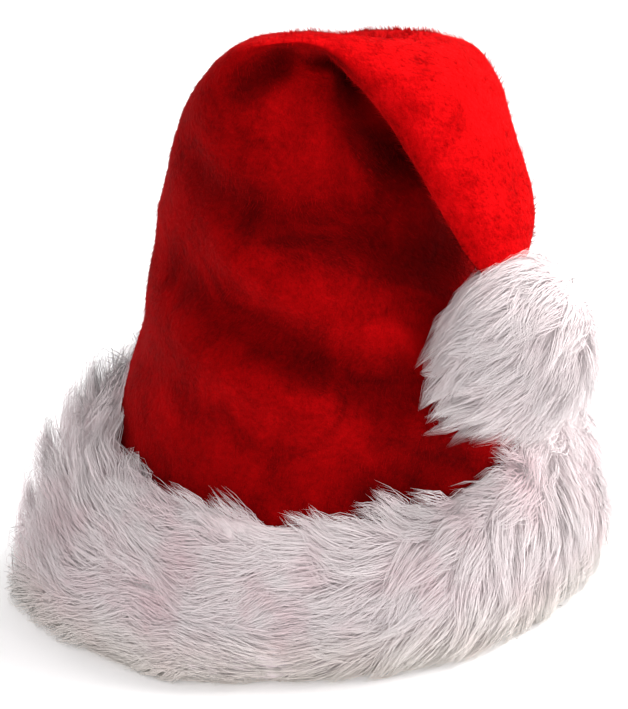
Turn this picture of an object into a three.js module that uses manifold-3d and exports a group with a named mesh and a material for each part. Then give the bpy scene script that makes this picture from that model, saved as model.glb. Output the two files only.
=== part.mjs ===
// A Santa hat: a red plush crown that folds over at the top, so that its tail hangs down one side, with a
// deep fur cuff round the rim and a fur pompom on the tip. The hat rests on its cuff. Millimetres, +Z up.
import * as THREE from "three";
import { mergeVertices } from "three/addons/utils/BufferGeometryUtils.js";
import Module from "manifold-3d";

const wasm = await Module();
wasm.setup();
const { degToRad, euclideanModulo, lerp, seededRandom } = THREE.MathUtils;

// Crown: the oval of cloth round the head, measured to its outer face
const RIM_HALF_DEPTH = 100;
const RIM_HALF_WIDTH = 93;
const CLOTH_WALL = 3;
const CREASE_HEIGHT = 241; // from the rim up to the crease, where the cloth turns over
const FOLD_RISE = 15; // from the crease up to the top of the fold
const CREASE_GAP = 6; // between the crown and the tail at the crease
const TOP_LEAN = 18; // how far the top leans sideways, square to the fold
const TOP_TILT = 17; // how far the crease tips down to that side, in degrees
const FOLD_HEADING = -52; // plan direction in which the tail falls, in degrees from +X
const FOLD_DENT = 10; // the deepest sag or pinch in the cloth

// Tail: the tip of the cone, from the fold down to the pompom
const TAIL_LENGTH = 106;
const TAIL_HALF_WIDTH = 44;
const TAIL_THICKNESS = 32;
const TAIL_TURN = 146; // the turn from straight up to the way the tail hangs, in degrees
const TAIL_SWING = 10; // how far the tail swings sideways from the crown's top

// Cuff: a fur band folded round the rim
const CUFF_HEIGHT = 72;
const CUFF_FUR = 22; // depth of the fur in front of the crown's cloth, without its locks
const CUFF_TURN_IN = 44; // height of the strip that is turned in behind the rim
const CUFF_CLOTH = 4; // thickness of that strip
const RIM_HEIGHT = 8; // the rim above the floor, seated in the band
const CUFF_LOCK_LENGTH = 46;
const CUFF_LOCK_WIDTH = 32;
const CUFF_LOCK_THICKNESS = 12;
const CUFF_SPREAD = 27; // how far the fur spreads over the floor at its widest

// Pompom: a fur ball that holds the tail's tip
const POMPOM_RADIUS = 30;
const POMPOM_HALF_HEIGHT = 34.5;
const POMPOM_LOCK_LENGTH = 30;
const POMPOM_LOCK_WIDTH = 24;
const POMPOM_LOCK_THICKNESS = 9;
const POMPOM_LOCKS = 40;
const TIP_SEAT = 20; // how deep the tip sits in the pompom

const SEAT_GAP = 0.35; // between pieces that touch

// Faces
const CROWN_SIDES = 32;
const CROWN_STEPS = 16;
const FOLD_STEPS = 9;
const TAIL_STEPS = 6;
const CUFF_SIDES = 36;
const LOCK_SIDES = 4;
const LOCK_STEPS = 3;

// Crown sections, from the rim to the crease. rise is a share of CREASE_HEIGHT, side of RIM_HALF_WIDTH,
// front and back of RIM_HALF_DEPTH, lean of TOP_LEAN and tilt of TOP_TILT.
const CROWN_SECTIONS = [
  { rise: 0.0, side: 1.0, front: 1.0, back: 1.0, lean: 0.0, tilt: 0.0 },
  { rise: 0.28, side: 0.98, front: 1.0, back: 1.0, lean: 0.04, tilt: 0.0 },
  { rise: 0.45, side: 0.9, front: 0.93, back: 0.89, lean: 0.2, tilt: 0.08 },
  { rise: 0.62, side: 0.8, front: 0.84, back: 0.78, lean: 0.42, tilt: 0.25 },
  { rise: 0.78, side: 0.75, front: 0.7, back: 0.64, lean: 0.65, tilt: 0.5 },
  { rise: 0.9, side: 0.725, front: 0.54, back: 0.45, lean: 0.85, tilt: 0.78 },
  { rise: 1.0, side: 0.64, front: 0.36, back: 0.12, lean: 1.0, tilt: 1.0 },
];

// Fold sections, round the crease. turn is a share of TAIL_TURN, narrow the share of the way from the
// crown's top width to the tail's, full how far the outer face stands out against a plain quarter oval,
// swing is a share of TAIL_SWING.
const FOLD_SECTIONS = [
  { turn: 0.0, narrow: 0.0, full: 1.0, swing: 0.0 },
  { turn: 0.18, narrow: 0.16, full: 1.0, swing: 0.24 },
  { turn: 0.36, narrow: 0.36, full: 1.02, swing: 0.5 },
  { turn: 0.54, narrow: 0.58, full: 1.04, swing: 0.7 },
  { turn: 0.72, narrow: 0.82, full: 1.03, swing: 0.86 },
  { turn: 0.88, narrow: 0.96, full: 1.0, swing: 0.95 },
  { turn: 1.0, narrow: 1.0, full: 1.0, swing: 1.0 },
];

// Tail sections, down from the fold. drop is a share of TAIL_LENGTH, side of TAIL_HALF_WIDTH, thick of
// TAIL_THICKNESS, swing of TAIL_SWING.
const TAIL_SECTIONS = [
  { drop: 0.0, side: 1.0, thick: 1.0, swing: 1.0 },
  { drop: 0.3, side: 0.76, thick: 0.97, swing: 1.0 },
  { drop: 0.6, side: 0.64, thick: 0.86, swing: 0.9 },
  { drop: 0.82, side: 0.48, thick: 0.7, swing: 0.4 },
  { drop: 0.94, side: 0.36, thick: 0.52, swing: 0.0 },
  { drop: 1.0, side: 0.2, thick: 0.3, swing: -0.3 },
];

// Sags and pinches in the cloth. around is in degrees from the crease, along runs 0 to 1 up the crown, 1 to
// 2 round the fold and 2 to 3 down the tail, wide and tall are the dent's half extents in those units, slant
// is in degrees for each unit along, and depth is a share of FOLD_DENT, below zero for a bulge.
const CLOTH_DENTS = [
  { around: -38, along: 0.32, wide: 30, tall: 0.08, slant: -300, depth: 0.5 },
  { around: -57, along: 0.51, wide: 20, tall: 0.1, slant: -367, depth: -0.5 },
  { around: -50, along: 0.59, wide: 22, tall: 0.14, slant: -330, depth: 0.8 },
  { around: -38, along: 0.72, wide: 22, tall: 0.1, slant: -258, depth: -0.55 },
  { around: -35, along: 0.815, wide: 34, tall: 0.07, slant: -500, depth: 0.85 },
  { around: -30, along: 0.9, wide: 26, tall: 0.06, slant: 0, depth: -0.5 },
  { around: -4, along: 0.935, wide: 14, tall: 0.055, slant: 0, depth: 0.55 },
  { around: -52, along: 0.945, wide: 14, tall: 0.05, slant: 0, depth: 0.5 },
  { around: -26, along: 0.94, wide: 10, tall: 0.05, slant: 0, depth: -0.4 },
  { around: 100, along: 0.55, wide: 22, tall: 0.14, slant: 300, depth: 0.5 },
  { around: 165, along: 0.7, wide: 24, tall: 0.12, slant: 260, depth: 0.5 },
  { around: 215, along: 0.55, wide: 24, tall: 0.12, slant: -300, depth: 0.45 },
  { around: 190, along: 1.38, wide: 19, tall: 0.4, slant: 0, depth: 0.85 },
];

// The cuff's outer face, from the floor to its top edge. rise is a share of CUFF_HEIGHT, out of CUFF_FUR.
const CUFF_PROFILE = [
  { rise: 0.0, out: 0.42 },
  { rise: 0.1, out: 0.78 },
  { rise: 0.28, out: 1.0 },
  { rise: 0.52, out: 0.98 },
  { rise: 0.75, out: 0.8 },
  { rise: 0.92, out: 0.5 },
  { rise: 1.0, out: 0.2 },
];

// How the cuff varies round the hat, in equal steps from +X by way of the back. flare is the fur's depth
// against CUFF_FUR, spread a share of CUFF_SPREAD, crest the height of its top edge against CUFF_HEIGHT.
const CUFF_ROUND = [
  { flare: 1.7, spread: 0.0, crest: 1.26 },
  { flare: 1.3, spread: 0.0, crest: 1.14 },
  { flare: 1.0, spread: 0.0, crest: 1.02 },
  { flare: 1.15, spread: 0.3, crest: 1.05 },
  { flare: 1.6, spread: 1.0, crest: 1.12 },
  { flare: 1.1, spread: 0.6, crest: 1.05 },
  { flare: 0.65, spread: 0.0, crest: 0.96 },
  { flare: 0.85, spread: 0.0, crest: 1.0 },
];

// Rows of locks on the cuff. rise is a share of CUFF_HEIGHT, out, up and round give the way that the locks
// point, and long is a share of CUFF_LOCK_LENGTH.
const CUFF_LOCK_ROWS = [
  { rise: 0.13, count: 18, out: 0.26, up: -0.05, round: 0.9, long: 0.85 },
  { rise: 0.36, count: 18, out: 0.3, up: -0.25, round: 0.9, long: 1.0 },
  { rise: 0.6, count: 19, out: 0.32, up: 0.0, round: 0.9, long: 1.0 },
  { rise: 0.84, count: 22, out: 0.26, up: 0.75, round: 0.6, long: 0.85 },
];

const UP = new THREE.Vector3(0, 0, 1);
const HEADING = new THREE.Vector3(1, 0, 0).applyAxisAngle(UP, degToRad(FOLD_HEADING));
const SIDEWAYS = new THREE.Vector3().crossVectors(UP, HEADING);

// A smooth curve through one table's rows: given a place in its first column, it returns every column.
function curveThrough(rows) {
  const columns = Object.keys(rows[0]);
  const places = rows.map((row) => row[columns[0]]);
  const values = rows.flatMap((row) => columns.map((column) => row[column]));
  const curve = new THREE.CubicInterpolant(places, values, columns.length);
  return (place) => {
    const found = curve.evaluate(place);
    return Object.fromEntries(columns.map((column, i) => [column, found[i]]));
  };
}

// The values of one table whose rows are in equal steps round the hat, at an angle in radians from +X.
function roundTable(rows, angle) {
  const place = euclideanModulo(angle / (2 * Math.PI), 1) * rows.length;
  const row = Math.floor(place);
  const share = THREE.MathUtils.smoothstep(place - row, 0, 1);
  const next = rows[(row + 1) % rows.length];
  return Object.fromEntries(
    Object.keys(next).map((key) => [key, lerp(rows[row % rows.length][key], next[key], share)]),
  );
}

// The point that lies so far along the heading, sideways and up.
function placed(heading, sideways, up) {
  return new THREE.Vector3()
    .addScaledVector(HEADING, heading)
    .addScaledVector(SIDEWAYS, sideways)
    .addScaledVector(UP, up);
}

// The oval sections of the hat, from the rim to the tip. through points from the crease side to the outer
// face and across along the crease, along is the section's place in CLOTH_DENTS' units.
function hatSections() {
  const sections = [];
  const crown = curveThrough(CROWN_SECTIONS);
  for (let i = 0; i <= CROWN_STEPS; i++) {
    const share = i / CROWN_STEPS;
    const at = crown(share);
    const [front, back] = [at.front * RIM_HALF_DEPTH, at.back * RIM_HALF_DEPTH];
    const tilt = degToRad(at.tilt * TOP_TILT);
    sections.push({
      along: share,
      through: HEADING.clone().negate(),
      across: placed(0, Math.cos(tilt), -Math.sin(tilt)),
      halfThrough: (front + back) / 2,
      halfSide: at.side * RIM_HALF_WIDTH,
      centre: placed(
        (front - back) / 2,
        at.lean * TOP_LEAN,
        RIM_HEIGHT + share * CREASE_HEIGHT,
      ),
    });
  }
  const top = sections.at(-1);
  const nearGap = CREASE_GAP / 2;
  const pivot = top.centre.clone().addScaledVector(HEADING, top.halfThrough + nearGap);
  const { across } = top;
  const upright = new THREE.Vector3().crossVectors(HEADING, across);
  const fold = curveThrough(FOLD_SECTIONS);
  for (let i = 1; i <= FOLD_STEPS; i++) {
    const share = i / FOLD_STEPS;
    const at = fold(share);
    const turn = degToRad(share * TAIL_TURN);
    const flat = share * TAIL_TURN < 90 ? 2 * top.halfThrough : TAIL_THICKNESS;
    const reach = at.full / Math.hypot(Math.cos(turn) / flat, Math.sin(turn) / FOLD_RISE);
    const through = HEADING.clone().multiplyScalar(-Math.cos(turn)).addScaledVector(upright, Math.sin(turn));
    sections.push({
      along: 1 + share,
      through,
      across,
      halfThrough: reach / 2,
      halfSide: lerp(top.halfSide, TAIL_HALF_WIDTH, at.narrow),
      centre: pivot
        .clone()
        .addScaledVector(through, nearGap + reach / 2)
        .addScaledVector(across, at.swing * TAIL_SWING),
    });
  }
  const hang = degToRad(TAIL_TURN);
  const down = placed(Math.sin(hang), 0, Math.cos(hang));
  const through = sections.at(-1).through;
  const last = sections.at(-1).centre.clone().addScaledVector(through, -sections.at(-1).halfThrough);
  const tail = curveThrough(TAIL_SECTIONS);
  for (let i = 1; i <= TAIL_STEPS; i++) {
    const share = i / TAIL_STEPS;
    const at = tail(share);
    sections.push({
      along: 2 + share,
      through,
      across,
      halfThrough: (at.thick * TAIL_THICKNESS) / 2,
      halfSide: at.side * TAIL_HALF_WIDTH,
      centre: last
        .clone()
        .addScaledVector(through, TAIL_THICKNESS / 2)
        .addScaledVector(down, share * TAIL_LENGTH)
        .addScaledVector(SIDEWAYS, (at.swing - 1) * TAIL_SWING),
    });
  }
  return { sections, down };
}

// How far the cloth is pushed in at an angle round a section.
function dentAt(angle, along) {
  let depth = 0;
  for (const dent of CLOTH_DENTS) {
    const rise = along - dent.along;
    const turn = THREE.MathUtils.radToDeg(angle) - dent.around - dent.slant * rise;
    const aside = euclideanModulo(turn + 180, 360) - 180;
    depth += dent.depth * FOLD_DENT * Math.exp(-((aside / dent.wide) ** 2) - (rise / dent.tall) ** 2);
  }
  return depth;
}

// The crown's outer face as rings of points, one ring for each section, grown by so much. Growing also
// moves the rim down and the tip on.
function clothRings({ sections, down }, grow) {
  const past = Math.max(grow, 0);
  const ends = new Map([
    [0, UP.clone().multiplyScalar(-past)],
    [sections.length - 1, down.clone().multiplyScalar(past)],
  ]);
  return sections.map((section, level) => {
    const centre = section.centre.clone().add(ends.get(level) ?? new THREE.Vector3());
    const ring = [];
    for (let i = 0; i < CROWN_SIDES; i++) {
      const angle = (2 * Math.PI * i) / CROWN_SIDES;
      const inset = dentAt(angle, section.along) - grow;
      ring.push(
        centre
          .clone()
          .addScaledVector(section.through, -(section.halfThrough - inset) * Math.cos(angle))
          .addScaledVector(section.across, (section.halfSide - inset) * Math.sin(angle)),
      );
    }
    return ring;
  });
}

// Faces between rings, one after the other, and over a ring to a point.
function bridge(faces, rings) {
  for (let k = 0; k + 1 < rings.length; k++) {
    const [low, high] = [rings[k], rings[k + 1]];
    low.forEach((point, i) => {
      const next = (i + 1) % low.length;
      faces.push(point, low[next], high[next], point, high[next], high[i]);
    });
  }
}

function cap(faces, ring, peak) {
  ring.forEach((point, i) => faces.push(point, ring[(i + 1) % ring.length], peak));
}

function middle(ring) {
  return ring.reduce((sum, point) => sum.add(point), new THREE.Vector3()).divideScalar(ring.length);
}

function solidOf(geometry) {
  geometry.deleteAttribute("normal");
  geometry.deleteAttribute("uv");
  const merged = mergeVertices(geometry, 1e-3);
  const triVerts = new Uint32Array(merged.index.array);
  const vertProperties = merged.attributes.position.array;
  return new wasm.Manifold(new wasm.Mesh({ numProp: 3, vertProperties, triVerts }));
}

function geometryOf(solid) {
  const mesh = solid.getMesh();
  const geometry = new THREE.BufferGeometry();
  geometry.setAttribute("position", new THREE.BufferAttribute(mesh.vertProperties, mesh.numProp));
  geometry.setIndex(new THREE.BufferAttribute(mesh.triVerts, 1));
  geometry.computeVertexNormals();
  return geometry;
}

// The cloth between an outer face and its lining, open at the rim. The lining stops short of the tip.
function clothShell(outer, lining) {
  const faces = [];
  bridge(faces, outer);
  cap(faces, outer.at(-1), middle(outer.at(-1)));
  const inside = lining.slice(0, -2).map((ring) => ring.toReversed());
  bridge(faces, inside);
  cap(faces, inside.at(-1), middle(inside.at(-1)));
  bridge(faces, [lining[0], outer[0]]);
  return new THREE.BufferGeometry().setFromPoints(faces);
}

// The whole space inside a face of the cloth.
function clothBody(outer) {
  const faces = [];
  bridge(faces, outer);
  cap(faces, outer.at(-1), middle(outer.at(-1)));
  cap(faces, outer[0].toReversed(), middle(outer[0]));
  return new THREE.BufferGeometry().setFromPoints(faces);
}

// One lock of fur: a flat, pointed body from its root along aim, which swells near the root, lies with its
// broad side to the outward direction, and whose tip sags.
function lock({ root, aim, out, sag, length, width, thickness }) {
  const body = new THREE.SphereGeometry(1, LOCK_SIDES, LOCK_STEPS);
  const { position } = body.attributes;
  const broad = new THREE.Vector3().crossVectors(out, aim).normalize();
  const thin = new THREE.Vector3().crossVectors(aim, broad);
  for (let i = 0; i < position.count; i++) {
    const share = (1 - position.getY(i)) / 2;
    const swell = (1.2 - share) * 0.6;
    const point = root
      .clone()
      .addScaledVector(aim, share * length)
      .addScaledVector(broad, position.getX(i) * swell * width)
      .addScaledVector(thin, position.getZ(i) * swell * thickness)
      .addScaledVector(sag, share * share * length);
    position.setXYZ(i, ...point.toArray());
  }
  return body;
}

// The rim's oval at an angle: the point on the cloth's outer face and the way out from it.
function rimAt(angle) {
  const [forward, aside] = [Math.cos(angle), Math.sin(angle)];
  return {
    point: placed(RIM_HALF_DEPTH * forward, RIM_HALF_WIDTH * aside, 0),
    out: placed(forward / RIM_HALF_DEPTH, aside / RIM_HALF_WIDTH, 0).normalize(),
  };
}

// A point of the cuff, so far out from the cloth and at a share of the cuff's height.
function cuffPoint(angle, out, rise) {
  const { point, out: outward } = rimAt(angle);
  const { flare, spread, crest } = roundTable(CUFF_ROUND, angle + degToRad(FOLD_HEADING));
  const foot = spread * CUFF_SPREAD * (1 - rise) ** 2;
  return point
    .addScaledVector(outward, out > 0 ? out * flare + foot : out)
    .addScaledVector(UP, rise * CUFF_HEIGHT * crest);
}

// The cuff's band, one closed section carried round the rim, grown by a gap.
function cuffBand(gap) {
  const lining = -(CLOTH_WALL + SEAT_GAP);
  const turnIn = CUFF_TURN_IN / CUFF_HEIGHT;
  const edge = [
    { rise: 0, out: lining - CUFF_CLOTH / 2 },
    ...CUFF_PROFILE.map(({ rise, out }) => ({ rise, out: out * CUFF_FUR + gap })),
    { rise: 1 + gap / CUFF_HEIGHT, out: -CLOTH_WALL / 2 },
    { rise: turnIn, out: -CLOTH_WALL / 2 },
    { rise: turnIn, out: lining - CUFF_CLOTH / 2 },
    { rise: turnIn * 0.95, out: lining - CUFF_CLOTH },
    { rise: 0.06, out: lining - CUFF_CLOTH },
  ];
  const rings = edge.map(({ rise, out }) => {
    const ring = [];
    for (let i = 0; i < CUFF_SIDES; i++) ring.push(cuffPoint((2 * Math.PI * i) / CUFF_SIDES, out, rise));
    return ring;
  });
  const faces = [];
  bridge(faces, [...rings, rings[0]]);
  return new THREE.BufferGeometry().setFromPoints(faces);
}

// The locks on the cuff, grown by a gap.
function cuffLocks(gap) {
  const profile = curveThrough(CUFF_PROFILE);
  const locks = [];
  CUFF_LOCK_ROWS.forEach((row, level) => {
    for (let i = 0; i < row.count; i++) {
      const wobble = seededRandom(1 + level * 100 + i) - 0.5;
      const angle = (2 * Math.PI * (i + level / 2 + wobble * 0.6)) / row.count;
      const rise = row.rise + wobble * 0.12;
      const width = CUFF_LOCK_WIDTH + 2 * gap;
      const thickness = CUFF_LOCK_THICKNESS + 2 * gap;
      const root = cuffPoint(angle, profile(rise).out * CUFF_FUR - CUFF_LOCK_WIDTH / 4, rise);
      const { out } = rimAt(angle);
      const round = new THREE.Vector3().crossVectors(out, UP);
      const aim = new THREE.Vector3()
        .addScaledVector(out, row.out)
        .addScaledVector(round, row.round * (0.8 + wobble * 0.8))
        .addScaledVector(UP, row.up)
        .normalize();
      const sag = new THREE.Vector3().addScaledVector(out, -0.15).addScaledVector(UP, row.up * 0.2);
      const length = row.long * CUFF_LOCK_LENGTH * (1 + wobble * 0.4) + gap;
      locks.push(lock({ root, aim, out, sag, length, width, thickness }));
    }
  });
  return locks;
}

// The pompom's ball and its locks, spread evenly over it and swept down and round.
function pompomPieces(centre) {
  const stretch = new THREE.Vector3(POMPOM_RADIUS, POMPOM_RADIUS, POMPOM_HALF_HEIGHT);
  const ball = new THREE.SphereGeometry(1, 16, 10);
  ball.rotateX(Math.PI / 2);
  ball.scale(...stretch.toArray());
  ball.translate(...centre.toArray());
  const pieces = [ball];
  const golden = Math.PI * (3 - Math.sqrt(5));
  for (let i = 0; i < POMPOM_LOCKS; i++) {
    const height = 1 - (2 * (i + 0.5)) / POMPOM_LOCKS;
    const wide = Math.sqrt(1 - height * height);
    const out = new THREE.Vector3(wide * Math.cos(golden * i), wide * Math.sin(golden * i), height);
    const wobble = seededRandom(500 + i) - 0.5;
    const root = out
      .clone()
      .multiply(stretch.clone().subScalar(POMPOM_LOCK_WIDTH / 4))
      .add(centre);
    const round = new THREE.Vector3().crossVectors(out, UP);
    const aim = out
      .clone()
      .multiplyScalar(0.42)
      .addScaledVector(round, 0.8 + wobble * 0.8)
      .addScaledVector(UP, -0.35)
      .normalize();
    const sag = new THREE.Vector3().addScaledVector(out, -0.15).addScaledVector(UP, -0.15);
    const length = POMPOM_LOCK_LENGTH * (1 + wobble * 0.5);
    const [width, thickness] = [POMPOM_LOCK_WIDTH, POMPOM_LOCK_THICKNESS];
    pieces.push(lock({ root, aim, out, sag, length, width, thickness }));
  }
  return pieces;
}

function fused(geometries) {
  return wasm.Manifold.union(geometries.map(solidOf));
}

// The outer skin alone: locks that lie over one another can enclose pockets, which are filled here.
function filled(solid) {
  const bodies = solidOf(geometryOf(solid)).decompose();
  return bodies.reduce((most, body) => (body.volume() > most.volume() ? body : most));
}

function piece(name, solid, material) {
  const mesh = new THREE.Mesh(geometryOf(filled(solid)), material);
  mesh.name = name;
  return mesh;
}

const redPlush = new THREE.MeshStandardMaterial({ color: 0xb8040a, roughness: 0.95, metalness: 0 });
const whiteFur = new THREE.MeshStandardMaterial({ color: 0xece6e6, roughness: 0.9, metalness: 0 });

const cloth = hatSections();
const crown = solidOf(clothShell(clothRings(cloth, 0), clothRings(cloth, -CLOTH_WALL)));

// The same cloth and the space in it, grown by the gap, for the pieces that it touches
const seat = clothRings(cloth, SEAT_GAP);
const crownSeat = solidOf(clothShell(seat, clothRings(cloth, -CLOTH_WALL - SEAT_GAP)));
const crownSpace = solidOf(clothBody(seat));

const FLOOR = 0;
const cuff = fused(cuffLocks(0))
  .subtract(crownSpace)
  .add(solidOf(cuffBand(0)))
  .subtract(crownSeat)
  .trimByPlane([0, 0, 1], FLOOR);

const tip = cloth.sections.at(-1).centre;
const pompomCentre = tip
  .clone()
  .addScaledVector(cloth.down, POMPOM_HALF_HEIGHT - TIP_SEAT);
const pompom = fused(pompomPieces(pompomCentre))
  .subtract(crownSpace)
  .subtract(fused([cuffBand(SEAT_GAP), ...cuffLocks(SEAT_GAP)]));

const hat = new THREE.Group();
hat.add(
  piece("crown", crown, redPlush),
  piece("cuff", cuff, whiteFur),
  piece("pompom", pompom, whiteFur),
);

// The origin is on the floor, under the middle of the hat's box.
const box = new THREE.Box3().setFromObject(hat);
const centre = box.getCenter(new THREE.Vector3());
hat.position.set(-centre.x, -centre.y, -box.min.z);

export default hat;
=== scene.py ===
# %% [markdown]
# # A plush Santa hat
# This lesson dresses three plain solids (crown, cuff and pompom) as a real plush hat. The solids are packed
# elsewhere and stay as they are. Each is replaced here by a piece of the same shape with real cloth or fur.
# Everything is in metres, with the floor at zero height and the photographed side towards -Y.

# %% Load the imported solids
import heapq
import math

import bmesh
import bpy
import numpy as np
from mathutils import Matrix, Vector, noise
from mathutils.bvhtree import BVHTree
from mathutils.kdtree import KDTree


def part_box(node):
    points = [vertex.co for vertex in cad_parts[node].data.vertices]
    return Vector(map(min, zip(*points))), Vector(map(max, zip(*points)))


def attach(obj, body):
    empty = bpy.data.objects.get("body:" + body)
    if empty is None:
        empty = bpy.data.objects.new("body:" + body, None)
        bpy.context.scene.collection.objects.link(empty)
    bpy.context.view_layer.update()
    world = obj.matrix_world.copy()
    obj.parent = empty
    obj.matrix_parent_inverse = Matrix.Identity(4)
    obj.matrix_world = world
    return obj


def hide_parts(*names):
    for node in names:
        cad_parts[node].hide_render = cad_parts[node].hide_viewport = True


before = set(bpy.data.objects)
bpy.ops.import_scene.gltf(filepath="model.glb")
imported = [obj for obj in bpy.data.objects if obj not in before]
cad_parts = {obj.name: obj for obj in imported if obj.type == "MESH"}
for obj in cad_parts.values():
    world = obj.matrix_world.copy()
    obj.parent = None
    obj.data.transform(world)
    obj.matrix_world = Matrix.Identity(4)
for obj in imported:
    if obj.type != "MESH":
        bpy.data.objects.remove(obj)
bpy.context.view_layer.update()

MM = 0.001
UP = np.array([0.0, 0.0, 1.0])

# %% [markdown]
# ## Camera
# The camera comes first, because each later step is judged through it. A long lens from 1.6 m away keeps the
# hat's upper and lower parts at nearly one scale, as a product picture does. It looks 23 degrees down and is
# rolled 6 degrees, so that the hat leans to the left in the picture.

# %% Camera
PICTURE_WIDE, PICTURE_TALL = 628, 709
LOOK_AT = Vector((0, 0, 0.118))
LOOK_AT_PIXEL = (298, 338)
CAMERA_AWAY = 1.6
CAMERA_ELEVATION = math.radians(23)
CAMERA_ROLL = math.radians(6)

turn = Matrix.Rotation(math.radians(90) - CAMERA_ELEVATION, 3, "X") @ Matrix.Rotation(-CAMERA_ROLL, 3, "Z")
back = Vector((0, -math.cos(CAMERA_ELEVATION), math.sin(CAMERA_ELEVATION)))
bpy.ops.object.camera_add(location=LOOK_AT + CAMERA_AWAY * back, rotation=turn.to_euler())
camera = bpy.context.object
camera.name = "camera"
camera.data.lens = 179
camera.data.sensor_width = 36
camera.data.shift_x = (PICTURE_WIDE / 2 - LOOK_AT_PIXEL[0]) / PICTURE_TALL
camera.data.shift_y = -(PICTURE_TALL / 2 - LOOK_AT_PIXEL[1]) / PICTURE_TALL
bpy.context.scene.camera = camera
print("camera at", tuple(round(x, 3) for x in camera.location))

# %% [markdown]
# ## Helpers for nodes
# A material here is a small graph of nodes. These helpers add a node with its settings, start a material with
# its principled shader, and finish it with a colour, a varied roughness and a bump, so that each recipe below
# reads as a short list.


# %% Node helpers
def add_node(tree, kind, settings=None, **inputs):
    """A node of that kind. settings are the node's own, and inputs are its sockets by name."""
    node = tree.nodes.new(kind)
    for key, value in (settings or {}).items():
        setattr(node, key, value)
    for key, value in inputs.items():
        socket = node.inputs[key.replace("_", " ")]
        if isinstance(value, bpy.types.NodeSocket):
            tree.links.new(value, socket)
        else:
            socket.default_value = value
    return node


def new_material(name, **sockets):
    """A material with a principled shader, and numbers for the shader's own sockets."""
    material = bpy.data.materials.new(name)
    material.use_nodes = True
    shader = material.node_tree.nodes["Principled BSDF"]
    for key, value in sockets.items():
        shader.inputs[key.replace("_", " ")].default_value = value
    return material, material.node_tree, shader


def ramp(tree, factor, stops):
    """A colour ramp from (place, colour) stops."""
    node = add_node(tree, "ShaderNodeValToRGB", Fac=factor)
    elements = node.color_ramp.elements
    while len(elements) < len(stops):
        elements.new(0.5)
    for element, (place, colour) in zip(elements, stops):
        element.position = place
        element.color = (*colour, 1)
    return node.outputs["Color"]


def blended(tree, factor, first, second, how="MIX"):
    """Two colours mixed. Each is a socket or a plain colour."""
    node = tree.nodes.new("ShaderNodeMix")
    node.data_type = "RGBA"
    node.blend_type = how
    for place, value in ((0, factor), (6, first), (7, second)):
        if isinstance(value, bpy.types.NodeSocket):
            tree.links.new(value, node.inputs[place])
        else:
            node.inputs[place].default_value = value if place == 0 else (*value, 1)
    return node.outputs[2]


def finish_surface(tree, shader, colour, rough_by, rough, bump_by, strength, distance):
    """Link a colour, a roughness between two values, and a bump with its strength and depth in metres."""
    tree.links.new(colour, shader.inputs["Base Color"])
    varied = add_node(tree, "ShaderNodeMapRange", Value=rough_by, To_Min=rough[0], To_Max=rough[1])
    tree.links.new(varied.outputs["Result"], shader.inputs["Roughness"])
    bump = add_node(tree, "ShaderNodeBump", Height=bump_by, Strength=strength, Distance=distance)
    tree.links.new(bump.outputs["Normal"], shader.inputs["Normal"])


# %% [markdown]
# ## Helpers for meshes
# A shape is worked on in two ways here. Blender's own operators act on what is selected, as by hand. Arrays
# of all the points are quicker where thousands of them move by one rule. These helpers select one piece, and
# read its points, its normals and its stored values into arrays.


# %% Mesh helpers
def pick_only(piece):
    """Leave this piece alone selected, and active."""
    bpy.ops.object.select_all(action="DESELECT")
    piece.select_set(True)
    bpy.context.view_layer.objects.active = piece


def points_of(mesh):
    """The mesh's points, one row each."""
    out = np.empty(len(mesh.vertices) * 3, np.float32)
    mesh.vertices.foreach_get("co", out)
    return out.reshape(-1, 3).astype(float)


def normals_of(mesh):
    """The way out of the mesh at each of its points."""
    out = np.empty(len(mesh.vertices) * 3, np.float32)
    mesh.vertices.foreach_get("normal", out)
    return out.reshape(-1, 3).astype(float)


def values_of(mesh, name):
    """A number for each point, from the attribute of that name."""
    out = np.empty(len(mesh.vertices), np.float32)
    mesh.attributes[name].data.foreach_get("value", out)
    return out.astype(float)


def nearest_of(spots, centres):
    """For each spot, the nearest of the centres."""
    tree = KDTree(len(centres))
    for i, centre in enumerate(centres):
        tree.insert(centre, i)
    tree.balance()
    return np.array([tree.find(spot)[1] for spot in spots])


# %% [markdown]
# ## Floor and light
# The hat stands in a soft light from above on the right, on white. The lamp hangs almost beside the hat, so
# that it grazes the front and the folds there show. A pale sky fills the shade, and it is brighter on the
# lamp's side, which rounds the fur without hard shadows. The standard view keeps the plush's strong red,
# which a film-like view would wash out.

# %% Floor
bpy.ops.object.select_all(action="DESELECT")
bpy.ops.mesh.primitive_plane_add(size=14)
floor = bpy.context.object
floor.name = "floor"
pale, tree, shader = new_material(
    "pale_floor",
    Roughness=0.85,
    Base_Color=(0.93, 0.93, 0.935, 1),
    Emission_Color=(1, 1, 1, 1),
    Emission_Strength=0.14,
)
floor.data.materials.append(pale)
print("floor:", tuple(floor.dimensions))

# %% Sky
SKY_BRIGHTER = (0.62, 0.32, 0.72)  # the way towards the sky's brightest part
SKY_DIMMEST, SKY_BRIGHTEST = 0.05, 1.27

world = bpy.data.worlds.new("sky")
bpy.context.scene.world = world
world.use_nodes = True
sky = world.node_tree
background = sky.nodes["Background"]
background.inputs["Color"].default_value = (1.0, 0.985, 0.985, 1)
way = add_node(sky, "ShaderNodeTexCoord").outputs["Generated"]
facing = add_node(sky, "ShaderNodeVectorMath", {"operation": "DOT_PRODUCT"})
sky.links.new(way, facing.inputs[0])
facing.inputs[1].default_value = SKY_BRIGHTER
strength = add_node(sky, "ShaderNodeMapRange", Value=facing.outputs["Value"], From_Min=-1.0, From_Max=1.0)
strength.inputs["To Min"].default_value = SKY_DIMMEST
strength.inputs["To Max"].default_value = SKY_BRIGHTEST
sky.links.new(strength.outputs["Result"], background.inputs["Strength"])
print("sky strength:", SKY_DIMMEST, "to", SKY_BRIGHTEST)

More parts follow.
